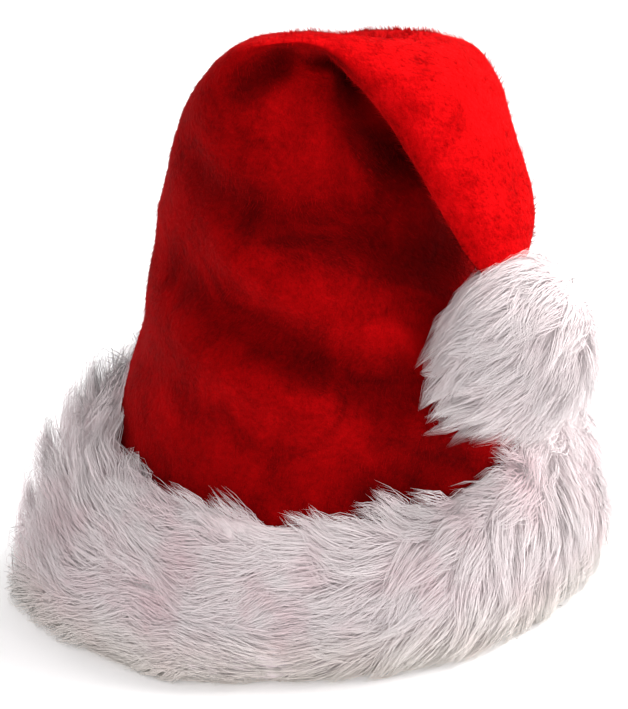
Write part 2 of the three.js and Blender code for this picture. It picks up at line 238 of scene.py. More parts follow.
# %% Lamps
LAMPS = [
    # name, place, watts, size across, colour
    ("key", (1.35, 0.1, 1.7), 45, 1.1, (1.0, 0.985, 0.97)),
    ("fill", (-1.6, -1.8, 1.2), 2, 1.4, (0.98, 0.97, 1.0)),
]
for name, place, watts, size, colour in LAMPS:
    aim = (LOOK_AT - Vector(place)).to_track_quat("-Z", "Y").to_euler()
    bpy.ops.object.light_add(type="AREA", location=place, rotation=aim)
    lamp = bpy.context.object
    lamp.name = name
    lamp.data.energy = watts
    lamp.data.size = size
    lamp.data.color = colour
bpy.context.scene.view_settings.view_transform = "Standard"
bpy.context.scene.view_settings.look = "None"
print("lamps:", [name for name, *_ in LAMPS])

# %% [markdown]
# ## Crown cloth
# The crown is one plush cone whose top falls over. Its solid has the right folds, but flat facets. A copy is
# welded and turned into four-sided faces, which subdivide into an even, rounded cloth. The outer side is then
# told from the inner side, since only the outer side is brushed. Nothing in the mesh says which is which, but
# the narrow strip at the rim divides them, so each side is found by walking from face to face.


# %% Crown: a copy of the solid in four-sided faces
FLAT_ENOUGH = math.radians(70)  # two triangles that turn less than this become one face


def copy_of(node, name):
    """A new piece with a copy of a solid's mesh, welded and in four-sided faces."""
    piece = bpy.data.objects.new(name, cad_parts[node].data.copy())
    bpy.context.scene.collection.objects.link(piece)
    piece.data.materials.clear()
    pick_only(piece)
    bpy.ops.object.mode_set(mode="EDIT")
    bpy.ops.mesh.select_all(action="SELECT")
    bpy.ops.mesh.remove_doubles(threshold=1e-6)
    bpy.ops.mesh.tris_convert_to_quads(face_threshold=FLAT_ENOUGH, shape_threshold=FLAT_ENOUGH)
    bpy.ops.object.mode_set(mode="OBJECT")
    return piece


crown_plush = copy_of("crown", "crown_plush")
print("crown faces:", len(crown_plush.data.polygons))

# %% Crown: which side of the cloth is out
RIM_LINE = 9.5 * MM
FACES_DOWN = -0.9


def in_rim_strip(face):
    """Whether a face belongs to the strip between the two sides of the cloth, at the rim."""
    return face.normal.z < FACES_DOWN and face.calc_center_median().z < RIM_LINE


def sides_of_cloth(mesh):
    """1 for each point of the outer side and 0 for the inner side, and the outer side's area."""
    shape = bmesh.new()
    shape.from_mesh(mesh)
    shape.faces.ensure_lookup_table()
    patch = [-1] * len(shape.faces)
    areas = []
    for start in shape.faces:
        if patch[start.index] >= 0 or in_rim_strip(start):
            continue
        patch[start.index] = len(areas)
        area, queue = 0.0, [start]
        while queue:
            face = queue.pop()
            area += face.calc_area()
            for edge in face.edges:
                for other in edge.link_faces:
                    if patch[other.index] < 0 and not in_rim_strip(other):
                        patch[other.index] = len(areas)
                        queue.append(other)
        areas.append(area)
    outer = areas.index(max(areas))
    side = np.zeros(len(shape.verts))
    for face in shape.faces:
        if patch[face.index] == outer:
            side[[v.index for v in face.verts]] = 1
    shape.free()
    print("sides of the cloth, in square metres:", [round(a, 4) for a in areas])
    return side, max(areas)


outside, cloth_area = sides_of_cloth(crown_plush.data)
layer = crown_plush.data.attributes.new("outside", "FLOAT", "POINT")
layer.data.foreach_set("value", outside)

# %% [markdown]
# ## Nap and painted light
# Plush has a nap, the way that its pile lies. It lies up on the tail and on the top of the fold, and down on
# the front. The share of the tail's nap also paints the plush's light and shade: it makes the red lit on the
# tail and where the cloth faces up, and shaded on the front. A limit at some height would cut straight across
# the folded cloth, so each point's distance from the tip is measured along the cloth, from edge to edge, and
# the share of the tail's nap is stored with it.

# %% Crown: how far each point is from the tip
# each pair is where the tail's nap begins to give way, and where it has ended
TAIL_NAP = (100 * MM, 140 * MM)  # along the cloth from the tip
# cloth that faces up counts with the tail, for painted light from above
TOP_NAP_AND_PAINTED_LIGHT = (145 * MM, 190 * MM)  # the same, where the cloth faces up
TOP_FACING = (0.3, 0.65)  # the upward part of the normal from which it counts as facing up


def cloth_from_tip(mesh, tip):
    """How far each point is from the tail's tip, measured along the cloth's edges."""
    points = points_of(mesh)
    neighbours = [[] for _ in points]
    for edge in mesh.edges:
        a, b = edge.vertices
        length = float(np.linalg.norm(points[a] - points[b]))
        neighbours[a].append((b, length))
        neighbours[b].append((a, length))
    far = np.full(len(points), np.inf)
    start = int(np.argmin(np.linalg.norm(points - tip, axis=1)))
    far[start] = 0
    queue = [(0.0, start)]
    while queue:
        here, a = heapq.heappop(queue)
        for b, length in neighbours[a]:
            if here + length < far[b]:
                far[b] = here + length
                heapq.heappush(queue, (far[b], b))
    return far


def smooth_step(low, high, value):
    """From 0 at the low end to 1 at the high end, without a corner at either."""
    share = np.clip((value - low) / (high - low), 0, 1)
    return share * share * (3 - 2 * share)


tip = (Vector(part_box("pompom")[0]) + Vector(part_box("pompom")[1])) / 2
from_tip = cloth_from_tip(crown_plush.data, np.array(tip))
# cloth that faces up near the top takes the tail's nap, and the lit red painted as light from above
facing_up = smooth_step(*TOP_FACING, normals_of(crown_plush.data)[:, 2])
over_the_top = (1 - smooth_step(*TOP_NAP_AND_PAINTED_LIGHT, from_tip)) * facing_up
tail_share = np.maximum(1 - smooth_step(*TAIL_NAP, from_tip), over_the_top)
layer = crown_plush.data.attributes.new("nap_and_painted_light", "FLOAT", "POINT")
layer.data.foreach_set("value", tail_share)
print("points on the tail:", int((tail_share > 0.5).sum()), "of", len(tail_share))

# %% [markdown]
# ## Rounding
# Two levels of subdivision round the facets as thick soft cloth is round. They come after the two attributes,
# because they carry them along and blend them between the old points.

# %% Crown: round the facets
modifier = crown_plush.modifiers.new("rounder", "SUBSURF")
modifier.levels = modifier.render_levels = 2
pick_only(crown_plush)
bpy.ops.object.modifier_apply(modifier=modifier.name)
bpy.ops.object.shade_smooth()
print("crown triangles:", sum(len(p.vertices) - 2 for p in crown_plush.data.polygons))

# %% [markdown]
# ## Soft folds
# The crown stands by itself, so its front sinks into wide soft folds that run down to the right, with a small
# pinch near the top and a hollow under the tail. The solid has the deepest of them. A cloth simulation could
# find such folds, but not these ones in these places. So each fold is a line on the front, and the cloth near
# it is pushed in or out. The inner side moves with the outer side, and the cloth keeps its thickness. Shade is
# painted into the red in the creases, darkest where the pile closes, and light is painted on the bulges.

# %% Soft folds
FOLDS = [
    # what it is, depth inwards and half width in mm, how far its pile closes as painted shade, and the line as
    # (X, Z) in mm
    ("upper crease", 6.0, 12, 0.3, [(-43, 220), (-32, 211), (-9, 199), (25, 193), (41, 183), (68, 171)]),
    ("lower crease", 6.0, 12, 0.1, [(-60, 169), (-41, 161), (-15, 149), (15, 133), (41, 119)]),
    ("upper bulge", -1.5, 17, 0.0, [(-8, 230), (12, 216)]),
    ("middle bulge", -6.5, 12, 0.0, [(-21, 183), (11, 160), (37, 144)]),
    ("lower bulge", -3.5, 13, 0.0, [(-43, 144), (6, 118)]),
    ("pinch", 5.0, 7, 0.5, [(6, 262), (-10, 256)]),
    ("under the tail", 4.0, 12, 1.0, [(28, 251), (46, 232), (54, 216)]),
    ("by the cuff", 2.0, 13, 0.3, [(28, 80), (62, 90)]),
]
DEEPEST = 6 * MM
# the lit red painted on the front, as a share of the tail's: more on a bulge, less in a crease
FRONT_PAINTED_LIGHT = 0.2  # the share of the tail's nap on the front, halfway between a bulge and a crease
FRONT_REACH = 2.0  # how soon the folds reach their full depth, as the cloth turns to the front


def away_from_line(spots, line):
    """How far each (X, Z) spot is from a line of points in mm."""
    far = np.full(len(spots), np.inf)
    for start, end in zip(line[:-1], line[1:]):
        start, along = np.array(start) * MM, (np.array(end) - np.array(start)) * MM
        share = np.clip((spots - start) @ along / (along @ along), 0, 1)
        far = np.minimum(far, np.linalg.norm(spots - start - share[:, None] * along, axis=1))
    return far


def press_folds(mesh):
    """Push the front in and out along the folds, and paint shade in the creases and light on the bulges."""
    points, ways = points_of(mesh), normals_of(mesh)
    tail, outer = values_of(mesh, "nap_and_painted_light"), values_of(mesh, "outside") > 0.5
    front = np.clip(-FRONT_REACH * ways[:, 1], 0, 1) * (1 - tail)
    depth, crease_shade = np.zeros(len(points)), np.zeros(len(points))
    for _, deep, half, painted_shade, line in FOLDS:
        near = np.exp(-((away_from_line(points[:, [0, 2]], line) / (half * MM)) ** 2))
        depth += deep * MM * near
        crease_shade = np.maximum(crease_shade, painted_shade * near * front)
    moves = -ways * (depth * front)[:, None]
    owner = nearest_of(points[~outer], points[outer])
    moves[~outer] = moves[outer][owner]
    mesh.vertices.foreach_set("co", (points + moves).astype(np.float32).ravel())
    mesh.update()
    # the nap value: painted light on the bulges, painted shade in the creases, darker still where the pile
    # closes
    nap_and_painted_light = tail + (1 - tail) * FRONT_PAINTED_LIGHT * (1 - np.clip(depth / DEEPEST, -1, 1) * front) - crease_shade
    mesh.attributes["nap_and_painted_light"].data.foreach_set("value", nap_and_painted_light)
    print("folds in mm:", [(name, deep) for name, deep, *_ in FOLDS])


press_folds(crown_plush.data)

# %% [markdown]
# ## Small wrinkles
# Thick plush has soft wrinkles between its big folds, a few centimetres long and one or two millimetres deep.
# They could be bump in the material, but then the outline would stay dead smooth. So the outer side's points
# move in and out a little by a smooth noise, stretched along the way that the cloth is pulled.


# %% Small wrinkles
def smooth_noise(points, size, seed):
    """A smooth random value from -1 to 1 at each point. size is the noise's grain, one number or three."""
    scaled = points / np.asarray(size) + 17.3 * seed
    return np.array([noise.noise(Vector(p)) for p in scaled])


WRINKLES = [
    # depth, and grain along X, Y and Z, in mm
    (1.8, (60, 60, 26)),
    (0.7, (16, 16, 11)),
    (0.3, (5, 5, 4)),
]


def wrinkle(piece):
    """Move the outer side's points in and out by the noise of every grain."""
    mesh = piece.data
    points, ways, side = points_of(mesh), normals_of(mesh), values_of(mesh, "outside")
    depth = np.zeros(len(points))
    for seed, (deep, grain) in enumerate(WRINKLES):
        depth += deep * MM * smooth_noise(points, np.array(grain) * MM, seed)
    points += ways * (depth * side)[:, None]
    mesh.vertices.foreach_set("co", points.astype(np.float32).ravel())
    mesh.update()
    print("wrinkles in mm:", round(depth.min() / MM, 2), "to", round(depth.max() / MM, 2))


wrinkle(crown_plush)

# %% [markdown]
# ## Plush colour
# The plush's light and shade are painted into its colour, as two reds for one cloth: a lit red where the pile
# points towards the light, and a painted shade of nearly black-red where it points away. The nap runs from the
# tip to the rim, so it points down on the crown's front and up on the tail that hangs over. The nap value says
# which red. It is lower in the creases and higher on the bulges, for painted shade and light, and below zero
# where the pile closes over itself, which paints the creases nearly black. Brushed patches and small tufts vary
# each red, and a soft sheen lightens the edges, as pile does.

# %% Plush material
# the reds from the dark to the light patches: painted shade for pile away from the light,
# and painted light for pile towards it
REDS_PAINTED_SHADE = [(0.4, (0.06, 0.0, 0.0003)), (0.65, (0.155, 0.0002, 0.0006)), (0.95, (0.3, 0.0005, 0.0012))]
REDS_PAINTED_LIGHT = [(0.4, (0.26, 0.0005, 0.001)), (0.65, (0.54, 0.001, 0.002)), (0.95, (0.8, 0.003, 0.005))]
# the lighter red of the pile's tips, a painted highlight
TIP_HIGHLIGHT_RED = (0.82, 0.006, 0.009)
# the painted shade in the creases, where the pile closes over itself: a near black red, reached between these
# two nap values
PAINTED_SHADE_RED = (0.004, 0.0, 0.0)
NAP_UNSHADED, NAP_FULLY_SHADED = 0.1, -1.0
TUFTS_SHARE = 0.45  # the tufts' part in the mottling, against the patches' 1


def plush_material(name, tip_highlight):
    """Red plush, its light and shade painted in by the nap value.
    The pile's hairs get lighter tips by the share given, a painted highlight.
    """
    material, tree, shader = new_material(
        name,
        Sheen_Weight=0.25,
        Sheen_Roughness=0.4,
        Sheen_Tint=(1.0, 0.03, 0.03, 1),
        Specular_IOR_Level=0.02,
    )
    place = add_node(tree, "ShaderNodeTexCoord").outputs["Object"]
    patches = add_node(
        tree, "ShaderNodeTexNoise", Vector=place, Scale=34.0, Detail=6.0, Roughness=0.6, Distortion=1.2
    )
    tufts = add_node(tree, "ShaderNodeTexNoise", Vector=place, Scale=420.0, Detail=3.0, Roughness=0.7)
    mottle = add_node(tree, "ShaderNodeMath", {"operation": "MULTIPLY_ADD"})
    tree.links.new(tufts.outputs["Fac"], mottle.inputs[0])
    mottle.inputs[1].default_value = TUFTS_SHARE
    tree.links.new(patches.outputs["Fac"], mottle.inputs[2])
    nap_and_painted_light = add_node(tree, "ShaderNodeAttribute", {"attribute_name": "nap_and_painted_light"}).outputs["Fac"]
    # the nap value picks between the painted shade and the painted light reds
    away, towards = (ramp(tree, mottle.outputs[0], reds) for reds in (REDS_PAINTED_SHADE, REDS_PAINTED_LIGHT))
    colour = blended(tree, nap_and_painted_light, away, towards)
    # below the unshaded value the red is painted into shade, towards near black
    painted_shade = add_node(tree, "ShaderNodeMapRange", Value=nap_and_painted_light, From_Min=NAP_FULLY_SHADED, From_Max=NAP_UNSHADED)
    colour = blended(tree, painted_shade.outputs["Result"], PAINTED_SHADE_RED, colour)
    # the pile's tips lightened, a painted highlight
    if tip_highlight:
        hair = add_node(tree, "ShaderNodeAttribute", {"attribute_name": "hair"})
        parts = add_node(tree, "ShaderNodeSeparateColor", Color=hair.outputs["Color"])
        tip = add_node(tree, "ShaderNodeMath", {"operation": "MULTIPLY"})
        tree.links.new(parts.outputs["Red"], tip.inputs[0])
        tip.inputs[1].default_value = tip_highlight
        colour = blended(tree, tip.outputs[0], colour, TIP_HIGHLIGHT_RED)
    finish_surface(tree, shader, colour, patches.outputs["Fac"], (0.7, 0.95), tufts.outputs["Fac"], 0.8, 0.0016)
    return material


# %% [markdown]
# ## The crown's plush
# The crown is one piece of cloth, cut flat and sewn into a cone. Its cut is close to a triangle, whose base
# goes round the rim and whose height is the way along the cloth to the tip. The cloth takes the plush, and
# the solid is hidden.

crown_plush.data.materials.append(plush_material("red_plush_cloth", tip_highlight=0.0))
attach(crown_plush, "root")
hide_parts("crown")

# %% [markdown]
# ## Growing hairs
# Fur that has to show its outline and its depth needs real hairs. Blender's hair curves aren't kept as a mesh,
# so each hair is a thin three-sided spike, and thousands are joined in one mesh from arrays. Fur looks like fur
# because hairs gather into wisps and wisps into locks, so both are made first, and each hair bends towards its
# wisp as it nears its tip.

# %% Hair paths
HAIR_STEPS = 3
ALONG = np.linspace(0, 1, HAIR_STEPS + 1)[None, :, None]
FORESHORTENED = 0.1  # the share of its reach that a hair loses by its tip, as it bends
BENT_BACK = 0.72  # and the share of its rise
SWING_TURN = 3.6  # the angle in radians that a hair's sideways wave goes through


def unit(ways):
    """The same ways with a length of one."""
    return ways / np.maximum(np.linalg.norm(ways, axis=-1, keepdims=True), 1e-9)


def hair_paths(roots, outs, flows, lengths, lifts, sag, waves):
    """Points along each hair, from its root to its tip: it rises, is combed along its flow, and sags."""
    ahead = flows[:, None] * (ALONG - FORESHORTENED * ALONG**2)
    rise = outs[:, None] * lifts[:, None, None] * (ALONG - BENT_BACK * ALONG**2)
    swing = np.cross(flows, outs)[:, None] * waves[:, None, None] * np.sin(ALONG * SWING_TURN)
    droop = -UP * sag * ALONG**2
    return roots[:, None] + lengths[:, None, None] * (ahead + rise + swing + droop)


def gathered(paths, parents, owner, pull):
    """Hairs that bend towards their owner's path as they near their tips."""
    apart = (paths[:, 0] - parents[owner, 0])[:, None]
    joined = parents[owner] + apart * (1 - ALONG) ** 0.8
    share = pull * ALONG**0.65
    return paths * (1 - share) + joined * share


# %% Hair mesh
TAPER = 1.6  # above 1, so that a hair keeps its width for most of its length
RIDGE = 0.5  # the height of a hair's back against half its width


def hair_mesh(name, paths, outs, widths, tones, softness):
    """Three-sided spikes along the paths, in one mesh, each closed at its root, with an attribute for colour.
    softness turns a hair's normals towards the way out of the coat, so that its sides don't shade hard."""
    count, rings = len(paths), paths.shape[1] - 1
    ahead = unit(paths[:, 1:] - paths[:, :-1])
    side = unit(np.cross(ahead, outs[:, None]))
    top = np.cross(side, ahead)
    taper = (1 - (np.arange(rings) / rings) ** TAPER)[None, :, None]
    wide = widths[:, None, None] * taper / 2
    body = paths[:, :-1]
    ring = np.stack([body - side * wide, body + top * wide * RIDGE, body + side * wide], 2)
    points = np.concatenate([ring.reshape(count, rings * 3, 3), paths[:, -1:]], 1)
    per_hair = rings * 3 + 1

    faces = [(2, 1, 0)]
    for k in range(rings - 1):
        for i in range(3):
            a, b = 3 * k + i, 3 * k + (i + 1) % 3
            faces += [(a, b, b + 3), (a, b + 3, a + 3)]
    faces += [(3 * rings - 3 + i, 3 * rings - 3 + (i + 1) % 3, 3 * rings) for i in range(3)]
    corners = np.array(faces)[None] + per_hair * np.arange(count)[:, None, None]

    mesh = bpy.data.meshes.new(name)
    mesh.vertices.add(count * per_hair)
    mesh.vertices.foreach_set("co", points.astype(np.float32).ravel())
    mesh.loops.add(corners.size)
    mesh.loops.foreach_set("vertex_index", corners.astype(np.int32).ravel())
    mesh.polygons.add(corners.size // 3)
    mesh.polygons.foreach_set("loop_start", np.arange(0, corners.size, 3, dtype=np.int32))
    mesh.polygons.foreach_set("use_smooth", np.ones(corners.size // 3, bool))
    mesh.update(calc_edges=True)
    mesh.validate()

    along = np.append(np.repeat(np.arange(rings) / rings, 3), 1.0)
    colours = np.ones((count, per_hair, 4), np.float32)
    colours[:, :, 0] = along
    colours[:, :, 1] = tones[:, None]
    hair = mesh.attributes.new("hair", "FLOAT_COLOR", "POINT")
    hair.data.foreach_set("color", colours.ravel())

    own = normals_of(mesh)
    soft = unit(own * (1 - softness) + np.repeat(outs, per_hair, axis=0) * softness)
    mesh.normals_split_custom_set_from_vertices(soft.astype(np.float32))

    piece = bpy.data.objects.new(name, mesh)
    bpy.context.scene.collection.objects.link(piece)
    print(name, "hairs:", count, "triangles:", len(mesh.polygons))
    return piece


# %% [markdown]
# ## Keeping hairs off the cloth
# Real hairs can't pass through the cloth or the floor. Physics for tens of thousands of hairs would be slow.
# So each point of a hair that lies behind the cloth is moved out to just in front of it, and each that lies
# too low is lifted above the floor.


# %% Keeping hairs off the cloth and above the floor
def outer_cloth(mesh):
    """A search tree of the cloth's outer side."""
    side = values_of(mesh, "outside")
    faces = [tuple(p.vertices) for p in mesh.polygons if side[list(p.vertices)].min() > 0.5]
    return BVHTree.FromPolygons([v.co for v in mesh.vertices], faces)


crown_face = outer_cloth(crown_plush.data)
FLOOR_CLEAR = 0.4 * MM
CLOTH_REACH = 80 * MM  # how far behind the cloth a hair's point can be and still be moved out
print("hairs stay above the floor by, in mm:", FLOOR_CLEAR / MM)


def kept_off(paths, clear):
    """Paths moved off the crown's cloth, with their roots left in place."""
    moved = paths.copy()
    for hair in moved:
        for k in range(1, len(hair)):
            place, way, _, _ = crown_face.find_nearest(Vector(hair[k]), CLOTH_REACH)
            if place is not None and (Vector(hair[k]) - place).dot(way) < clear:
                hair[k] = place + way * clear
    moved[:, :, 2] = np.maximum(moved[:, :, 2], FLOOR_CLEAR)
    return moved


# %% [markdown]
# ## Fur colour
# White fur isn't one white. Its tips are white, and the fur at the floor is cream. Its roots and patches of it
# are painted darker and pinker: painted shade between the locks, with painted pink light from the red cloth
# and the backing. The hair attribute says how far along the hair a point is, and the height gives the cream.
# Light passes from hair to hair in a real coat, and following it would take very many bounces, so a weak glow
# stands in for it.

# %% Fur material
# the white from tip to root, darker and pinker towards the root as painted shade and pink light between the
# locks
FUR_TIP = (0.945, 0.87, 0.877)
FUR_MIDDLE = (0.93, 0.825, 0.838)
FUR_ROOT = (0.92, 0.78, 0.8)
# patches of painted pink light from the red cloth, multiplied into the white
FUR_PAINTED_PINK_LIGHT = (0.93, 0.77, 0.8)
FUR_CREAM = (0.94, 0.885, 0.8)
FUR_GLOW = 0.05


def fur_material(name, pink_light_share, cream_height):
    """White fur with patches of painted pink light from the red cloth, and cream up to a height in metres."""
    material, tree, shader = new_material(
        name,
        Sheen_Weight=0.25,
        Sheen_Roughness=0.5,
        Specular_IOR_Level=0.1,
        Emission_Strength=FUR_GLOW,
    )
    hair = add_node(tree, "ShaderNodeAttribute", {"attribute_name": "hair"})
    parts = add_node(tree, "ShaderNodeSeparateColor", Color=hair.outputs["Color"])
    colour = ramp(tree, parts.outputs["Red"], [(0.0, FUR_ROOT), (0.35, FUR_MIDDLE), (0.85, FUR_TIP)])
    place = add_node(tree, "ShaderNodeTexCoord").outputs["Object"]
    patches = add_node(tree, "ShaderNodeTexNoise", Vector=place, Scale=38.0, Detail=3.0, Roughness=0.55)
    # patches of painted pink light from the red cloth
    pink_light_patches = add_node(
        tree, "ShaderNodeMapRange", Value=patches.outputs["Fac"], From_Min=0.44, From_Max=0.7, To_Max=pink_light_share
    )
    colour = blended(tree, pink_light_patches.outputs["Result"], colour, FUR_PAINTED_PINK_LIGHT, "MULTIPLY")
    shade = add_node(tree, "ShaderNodeMapRange", Value=parts.outputs["Green"], To_Min=0.97, To_Max=1.0)
    shade = shade.outputs["Result"]
    grey = add_node(tree, "ShaderNodeCombineColor", Red=shade, Green=shade, Blue=shade)
    colour = blended(tree, 1.0, colour, grey.outputs["Color"], "MULTIPLY")
    height = add_node(tree, "ShaderNodeSeparateXYZ", Vector=place).outputs["Z"]
    cream = add_node(
        tree, "ShaderNodeMapRange", Value=height, From_Min=0.0, From_Max=cream_height, To_Min=0.75, To_Max=0.0
    )
    colour = blended(tree, cream.outputs["Result"], colour, FUR_CREAM)
    tree.links.new(colour, shader.inputs["Emission Color"])
    fine = add_node(tree, "ShaderNodeTexNoise", Vector=place, Scale=900.0, Detail=2.0)
    finish_surface(tree, shader, colour, parts.outputs["Green"], (0.5, 0.75), fine.outputs["Fac"], 0.1, 0.0003)
    return material


cuff_fur = fur_material("cuff_fur_white", 0.8, 0.03)
pompom_fur = fur_material("pompom_fur_white", 0.25, 0.001)
print("furs:", cuff_fur.name, pompom_fur.name)

# %% [markdown]
# ## Cuff backing
# Under its hair the cuff is a folded band of thick cloth round the rim. A ring of points is extruded upwards
# once for each row of its section and bridged to close it, and the rings are then laid on the section's
# curve. The oval rim, the section and how it varies round the hat are the same as in the solid.

# %% Cuff sizes
RIM_MIDDLE = np.array([5.95, -1.8, 0.0]) * MM
RIM_HALF_DEPTH = 100 * MM
RIM_HALF_WIDTH = 93 * MM
RIM_HEADING = math.radians(-52)
CUFF_HEIGHT = 72 * MM
CUFF_FUR = 22 * MM
CUFF_SPREAD = 27 * MM
AHEAD = np.array([math.cos(RIM_HEADING), math.sin(RIM_HEADING), 0])
ASIDE = np.cross(UP, AHEAD)

CUFF_SECTION = [
    # rise as a share of the cuff's height, out as a share of the fur's depth
    (0.0, 0.42),
    (0.1, 0.78),
    (0.28, 1.0),
    (0.52, 0.98),
    (0.75, 0.8),
    (0.92, 0.5),
    (1.0, 0.2),
]
CUFF_ROUND = [
    # in equal steps from +X by way of the back: fur's depth, spread at the floor, height of the top edge
    (1.7, 0.0, 1.26),
    (1.3, 0.0, 1.14),
    (1.0, 0.0, 1.02),
    (1.15, 0.3, 1.05),
    (1.6, 1.0, 1.12),
    (1.1, 0.6, 1.05),
    (0.65, 0.0, 0.96),
    (0.85, 0.0, 1.0),
]


def round_table(rows, angles):
    """The values of a table whose rows are in equal steps round the hat, at angles from +X."""
    rows = np.array(rows)
    place = (angles / (2 * np.pi)) % 1 * len(rows)
    low = np.floor(place).astype(int)
    share = (place - low)[..., None]
    share = share * share * (3 - 2 * share)
    return rows[low % len(rows)] * (1 - share) + rows[(low + 1) % len(rows)] * share


def rim_at(turns):
    """Points of the rim's oval on the crown's cloth, and the way out from it, at turns round the hat."""
    forward, sideways = np.cos(turns)[..., None], np.sin(turns)[..., None]
    points = RIM_MIDDLE + AHEAD * RIM_HALF_DEPTH * forward + ASIDE * RIM_HALF_WIDTH * sideways
    return points, unit(AHEAD * forward / RIM_HALF_DEPTH + ASIDE * sideways / RIM_HALF_WIDTH)


def cuff_point(turns, out, rise):
    """Points of the cuff, so far out from the cloth, at a share of its height."""
    points, outs = rim_at(turns)
    flare, spread, crest = np.moveaxis(round_table(CUFF_ROUND, turns + RIM_HEADING), -1, 0)
    foot = spread * CUFF_SPREAD * (1 - rise) ** 2
    far = np.where(out > 0, out * flare + foot, out)
    return points + outs * far[..., None] + UP * (rise * CUFF_HEIGHT * crest)[..., None]


print("rim in mm:", 2 * RIM_HALF_DEPTH / MM, "by", 2 * RIM_HALF_WIDTH / MM)

# %% Cuff backing: its section
BACKING_SHARE = 0.78  # the backing's depth against the fur's
ROOTS_SHARE = 0.84  # and the depth at which the hairs leave it
INNER_SIDE = [
    # rise, out in mm: over the top edge, down behind the cloth's outer face, and the strip turned in
    (0.98, 0.6),
    (0.62, 0.6),
    (0.6, -3.8),
    (0.58, -7.2),
    (0.06, -7.2),
    (0.01, -5.0),
]
backing_section = [(rise, out * CUFF_FUR * BACKING_SHARE) for rise, out in CUFF_SECTION]
backing_section += [(rise, out * MM) for rise, out in INNER_SIDE]
print("rows in the backing's section:", len(backing_section))

# %% Cuff backing: rings up the section
BACKING_SIDES = 96
STOREY = 10 * MM  # how far apart the rings are while they are extruded


def cuff_backing(section):
    """A closed band: one ring for each row of the section, with the last bridged to the first."""
    bpy.ops.object.select_all(action="DESELECT")
    bpy.ops.mesh.primitive_circle_add(vertices=BACKING_SIDES, radius=RIM_HALF_DEPTH)
    piece = bpy.context.object
    piece.name = "cuff_backing"
    bpy.ops.object.mode_set(mode="EDIT")
    for _ in section[1:]:
        bpy.ops.mesh.extrude_region_move(TRANSFORM_OT_translate={"value": (0, 0, STOREY)})
    bpy.ops.mesh.select_all(action="DESELECT")
    bpy.ops.object.mode_set(mode="OBJECT")
    turns = np.arange(BACKING_SIDES) / BACKING_SIDES * 2 * np.pi
    all_round = np.ones(BACKING_SIDES)
    rings = [cuff_point(turns, out * all_round, rise * all_round) for rise, out in section]
    points = points_of(piece.data)
    level = np.rint(points[:, 2] / STOREY).astype(int)
    place = np.arctan2(points[:, 1], points[:, 0]) / (2 * np.pi) * BACKING_SIDES
    place = np.rint(place).astype(int) % BACKING_SIDES
    points = np.array([rings[k][i] for k, i in zip(level, place)])
    piece.data.vertices.foreach_set("co", points.astype(np.float32).ravel())
    bpy.ops.object.mode_set(mode="EDIT")
    bpy.ops.mesh.select_all(action="DESELECT")
    bpy.ops.mesh.select_mode(type="EDGE")
    bpy.ops.mesh.select_non_manifold(extend=False)
    bpy.ops.mesh.bridge_edge_loops()
    bpy.ops.mesh.select_all(action="SELECT")
    bpy.ops.mesh.normals_make_consistent(inside=False)
    bpy.ops.object.mode_set(mode="OBJECT")
    modifier = piece.modifiers.new("rounder", "SUBSURF")
    modifier.levels = modifier.render_levels = 2
    bpy.ops.object.modifier_apply(modifier=modifier.name)
    bpy.ops.object.shade_smooth()
    return piece


backing = cuff_backing(backing_section)
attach(backing, "root")
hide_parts("cuff")
print("backing faces:", len(backing.data.polygons))

# %% [markdown]
# ## Undercoat
# Between the hairs a short dense undercoat shows, a little pinker and darker than their tips, which is painted
# shade and painted pink light from the red cloth, down between the hairs. Hairs for it would cost more than
# all the rest, so it is a matt mottled colour with a soft bump on the backing.


# %% Undercoat material
def backing_material(name):
    """The short dense undercoat between the hairs, darker and pinker as painted shade and pink light."""
    material, tree, shader = new_material(name, Sheen_Weight=0.3, Sheen_Roughness=0.5, Specular_IOR_Level=0.1)
    place = add_node(tree, "ShaderNodeTexCoord").outputs["Object"]
    tufts = add_node(tree, "ShaderNodeTexNoise", Vector=place, Scale=300.0, Detail=4.0, Roughness=0.7)
    # darker pinks, painted shade and red light between the hairs
    colour = ramp(tree, tufts.outputs["Fac"], [(0.3, (0.82, 0.69, 0.71)), (0.7, (0.89, 0.79, 0.8))])
    finish_surface(tree, shader, colour, tufts.outputs["Fac"], (0.8, 1.0), tufts.outputs["Fac"], 0.5, 0.001)
    return material


fur_backing = backing_material("fur_backing")
backing.data.materials.append(fur_backing)
print("undercoat:", fur_backing.name)

# %% [markdown]
# ## Cuff fur
# The fur lies clockwise round the hat, seen from above. On the right it falls towards the floor, on the left
# it stands out and up in spikes, and along the top edge thin wisps rise over the red. A table gives the way
# it is combed in eight steps round the hat, and noise turns neighbouring locks a little apart.

# %% Cuff fur: a comb for it
CUFF_COMBED = [
    # in equal steps from +X by way of the back: round clockwise, up, lift, length in mm, how spiky
    (0.6, -0.7, 0.6, 31, 0.1),
    (0.85, -0.1, 0.6, 32, 0.2),
    (0.8, 0.4, 0.7, 34, 0.6),
    (0.35, 1.2, 1.1, 46, 1.0),
    (0.7, 0.5, 1.15, 43, 1.0),
    (0.95, 0.12, 0.5, 35, 0.3),
    (0.95, -0.2, 0.5, 32, 0.1),
    (0.7, -0.75, 0.6, 31, 0.2),
]
TOP_EDGE = 0.78  # the share of the cuff's height above which its top edge begins
FOOT = 0.3  # and the share below which its foot does
SWIRL_GRAIN = 24 * MM
WISPS_GRAIN = 9 * MM
print("columns of the comb:", len(CUFF_COMBED[0]), "steps round:", len(CUFF_COMBED))

# %% Cuff fur: roots and flow
NEAR = 0.5 * MM


